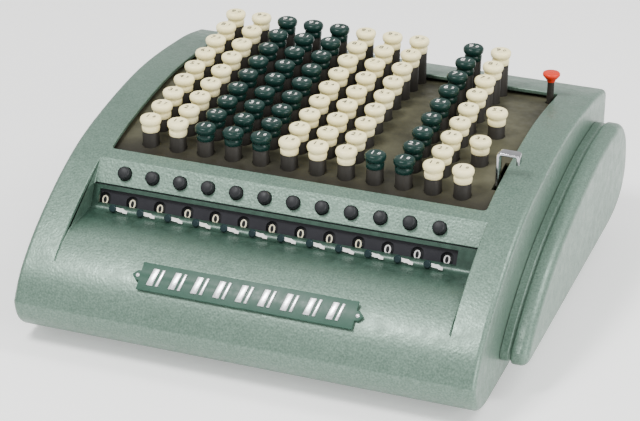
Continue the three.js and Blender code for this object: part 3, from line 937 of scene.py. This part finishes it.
def clearing_lever():
    """A bent strip: up through the slot, over to the right, with a turned-down finger tab."""
    low, high = node_box("clearing_lever")
    shaft = (node_box("clearing_shaft")[0] + node_box("clearing_shaft")[1]) / 2
    half, bend_radius, tab_radius, tab = 3.5, 3.2, 2.6, 7
    left, top, right = low.x, high.z, high.x
    outer = [(left, shaft.z)]
    outer += bend((left, top - bend_radius), (left, top), (left + bend_radius, top), 6)
    outer += bend((right - tab_radius, top), (right, top), (right, top - tab_radius), 5)
    outer += [(right, top - tab)]
    in_left, in_top, in_right = left + SHEET, top - SHEET, right - SHEET
    inner = [(in_left, shaft.z)]
    inner += bend((in_left, top - bend_radius - 1), (in_left, in_top), (in_left + 2.2, in_top), 6)
    inner += bend((in_right - 1, in_top), (in_right, in_top), (in_right, in_top - 1), 5)
    inner += [(in_right, top - tab)]
    bm = bmesh.new()
    sides = (shaft.y - half, shaft.y + half)
    rings = [[bm.verts.new((x, y, z)) for x, z in outer + inner[::-1]] for y in sides]
    bm.faces.new(rings[0])
    bm.faces.new(rings[1][::-1])
    for i in range(len(rings[0])):
        j = (i + 1) % len(rings[0])
        bm.faces.new((rings[0][j], rings[0][i], rings[1][i], rings[1][j]))
    hub = Matrix.Translation((left, shaft.y, shaft.z)) @ Matrix.Rotation(math.pi / 2, 4, "Y")
    lever = to_object("clearing_lever_finished", bm)
    carve(lever, [lathe_object("hub", [(0, 0), (7.6, 0), (7.6, SHEET), (0, SHEET)], 40, hub)], "UNION")
    bore = hub @ Matrix.Translation((0, 0, -1))
    carve(lever, [lathe_object("bore", [(0, 0), (3.8, 0), (3.8, 5), (0, 5)], 32, bore)])
    round_edges(lever, 0.45, 3)
    return finish_piece(lever, MATERIALS["chrome"], "clearing_lever", ["clearing_lever"])


EASED_EDGE = 0.3 * MM


def refine_cad_node(node, material):
    """Keeps a CAD node's shape, with eased edges and a finished material."""
    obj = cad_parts[node]
    obj.data.materials.clear()
    obj.data.materials.append(material)
    edges = obj.modifiers.new("ease", "BEVEL")
    edges.width = EASED_EDGE
    edges.segments = 2
    edges.limit_method = "ANGLE"
    edges.angle_limit = math.radians(50)


# ---- Stage ----

def build_floor():
    bm = bmesh.new()
    bmesh.ops.create_grid(bm, x_segments=1, y_segments=1, size=6)
    mesh = bpy.data.meshes.new("floor")
    bm.to_mesh(mesh)
    bm.free()
    floor = bpy.data.objects.new("floor", mesh)
    bpy.context.scene.collection.objects.link(floor)
    shader = Shader("pale_floor", 0.85, Emission_Color=(1, 1, 1, 1), Emission_Strength=0.35)
    shader.color(shader.mix(shader.noise(3, 2), (0.86, 0.86, 0.85), (0.9, 0.9, 0.89)))
    mesh.materials.append(shader.material)


def area_light(name, position, target, size, watts):
    """A rectangular lamp, its size given as width and height in metres, facing the target."""
    data = bpy.data.lights.new(name, "AREA")
    data.shape = "RECTANGLE"
    data.size, data.size_y = size
    data.energy = watts
    lamp = bpy.data.objects.new(name, data)
    lamp.location = position
    lamp.rotation_euler = (Vector(target) - Vector(position)).to_track_quat("-Z", "Y").to_euler()
    bpy.context.scene.collection.objects.link(lamp)


def build_lights():
    world = bpy.data.worlds.new("studio")
    world.use_nodes = True
    world.node_tree.nodes["Background"].inputs["Color"].default_value = (1, 1, 1, 1)
    world.node_tree.nodes["Background"].inputs["Strength"].default_value = 0.85
    bpy.context.scene.world = world
    area_light("key_light", (-0.5, -0.7, 1.6), (0, 0, 0.08), (0.5, 0.5), 34)
    area_light("side_light", (1.9, -0.9, 0.8), (0.1, 0, 0.08), (1.2, 0.9), 32)
    area_light("rim_light", (0.95, 0.3, 1.4), (0.1, 0, 0.08), (0.35, 0.9), 16)


AZIMUTH, ELEVATION, ROLL = math.radians(19.82), math.radians(26.52), math.radians(0.66)
CAMERA_DISTANCE = 1.449
FOCAL_LENGTH, SENSOR_WIDTH = 129, 36
AIM = Vector((0, 0, 96))
AIM_RIGHT, AIM_UP = 0.0105, -0.0251


def build_camera():
    level_reach = math.cos(ELEVATION)
    back = Vector((math.sin(AZIMUTH) * level_reach, -math.cos(AZIMUTH) * level_reach, math.sin(ELEVATION)))
    level = Vector((math.cos(AZIMUTH), math.sin(AZIMUTH), 0))
    right = math.cos(ROLL) * level + math.sin(ROLL) * back.cross(level)
    up = back.cross(right)
    data = bpy.data.cameras.new("camera")
    data.lens = FOCAL_LENGTH
    data.sensor_width = SENSOR_WIDTH
    camera = bpy.data.objects.new("camera", data)
    position = TO_FRAME @ AIM + right * AIM_RIGHT + up * AIM_UP + back * CAMERA_DISTANCE
    camera.matrix_world = Matrix.Translation(position) @ Matrix((right, up, back)).transposed().to_4x4()
    bpy.context.scene.collection.objects.link(camera)
    bpy.context.scene.camera = camera


# ---- Assembly ----

STEEL_NODES = (
    "mechanism_frame_left", "mechanism_frame_right", "register_shaft", "key_lever_shaft", "clearing_shaft",
    "clearing_arm",
)
WHEEL_DIGITS = [glyph(str(d), 5.9, 1.15) for d in range(10)]
KEY_DIGITS = [glyph(str(d), 4.4) for d in range(10)]
SMALL_DIGITS = [glyph(str(d), 3.0) for d in range(10)]

case_shell()
side_cover()
base_plate()
nameplate()
register_panel()
numeral_mask()
decimal_pointers()
keyboard_plate()
release_key()
clearing_lever()
for end in ("front", "rear"):
    for side in ("left", "right"):
        foot(f"foot_{end}_{side}")
for wheel in range(WHEEL_COUNT):
    numeral_wheel(wheel, WHEEL_DIGITS)
for button in range(COLUMNS):
    cut_off_button(button)
for key_node in KEYBOARD:
    keys(key_node, KEY_DIGITS, SMALL_DIGITS)
for steel_node in STEEL_NODES:
    refine_cad_node(steel_node, MATERIALS["steel"])

build_floor()
build_lights()
build_camera()
